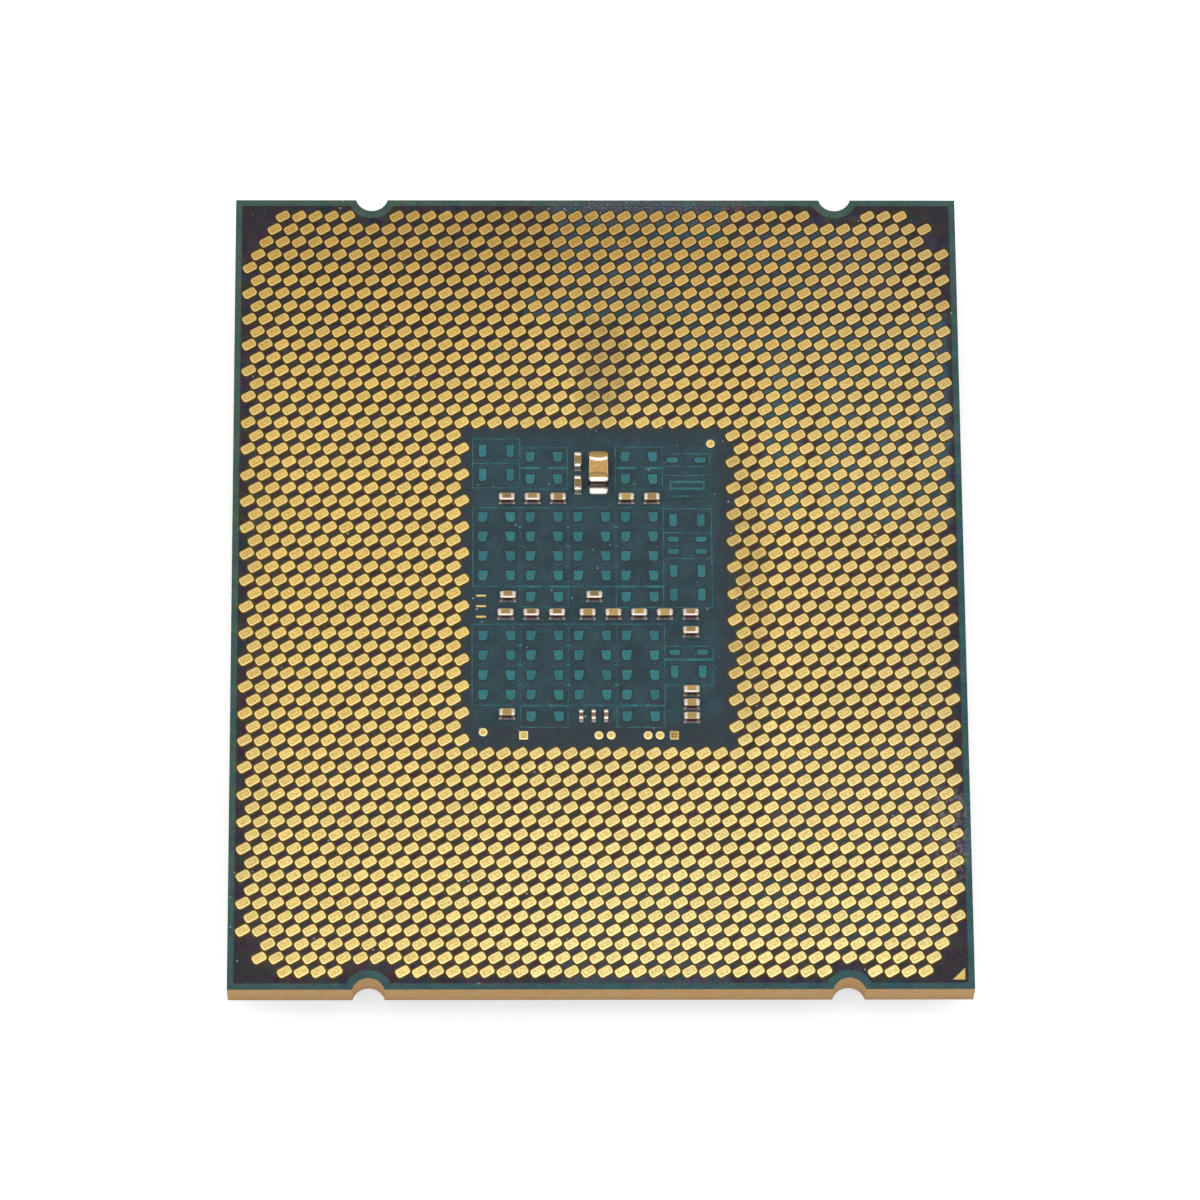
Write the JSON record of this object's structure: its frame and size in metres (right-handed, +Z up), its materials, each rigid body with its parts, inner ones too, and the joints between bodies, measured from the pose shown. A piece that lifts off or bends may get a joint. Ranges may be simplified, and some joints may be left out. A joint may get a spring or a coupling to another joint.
{
  "type": "land-grid processor package",
  "caption": "Flat rectangular processor package: tilted gold contact lands and small capacitors on the upper side, key notches in its ends, a metal heat-spreading lid below.",
  "frame": {"origin": "centre of the package, on the lid's contact face, which is the lowest face", "axes": "+Z up out of the land side, +Y along the long side away from the corner with the first-land mark, +X along the short side towards that corner"},
  "size_m": [0.045, 0.0524, 0.0063],
  "materials": {
    "laminate": "dark solder mask over copper, tan glass-epoxy edge",
    "gold": "thin gold plating, lightly scuffed",
    "masked_pad": "teal solder mask",
    "ceramic": "fired ceramic with tinned ends",
    "solder": "bright solder",
    "nickel": "satin nickel plate",
    "adhesive": "cured silicone",
    "silicon": "polished silicon",
    "thermal_solder": "soft indium",
    "underfill": "cured epoxy"
  },
  "bodies": {
    "root": {"laminate": "laminate", "north_lands": "gold", "south_lands": "gold", "west_lands": "gold", "east_lands": "gold", "first_land_mark": "gold", "test_points": "gold", "empty_pads": "masked_pad", "upper_capacitor_1": "ceramic", "upper_capacitor_2": "ceramic", "upper_capacitor_3": "ceramic", "upper_capacitor_4": "ceramic", "upper_capacitor_5": "ceramic", "middle_capacitor_1": "ceramic", "middle_capacitor_2": "ceramic", "main_capacitor_1": "ceramic", "main_capacitor_2": "ceramic", "main_capacitor_3": "ceramic", "main_capacitor_4": "ceramic", "main_capacitor_5": "ceramic", "main_capacitor_6": "ceramic", "main_capacitor_7": "ceramic", "main_capacitor_8": "ceramic", "side_capacitor_1": "ceramic", "side_capacitor_2": "ceramic", "side_capacitor_3": "ceramic", "side_capacitor_4": "ceramic", "lower_capacitor_1": "ceramic", "upright_capacitor_1": "ceramic", "upright_capacitor_2": "ceramic", "large_capacitor": "ceramic", "small_capacitor_1": "ceramic", "small_capacitor_2": "ceramic", "small_capacitor_3": "ceramic", "capacitor_solder": "solder", "heat_spreader": "nickel", "lid_adhesive": "adhesive", "silicon_chip": "silicon", "thermal_solder": "thermal_solder", "underfill": "underfill"}
  },
  "joints": []
}
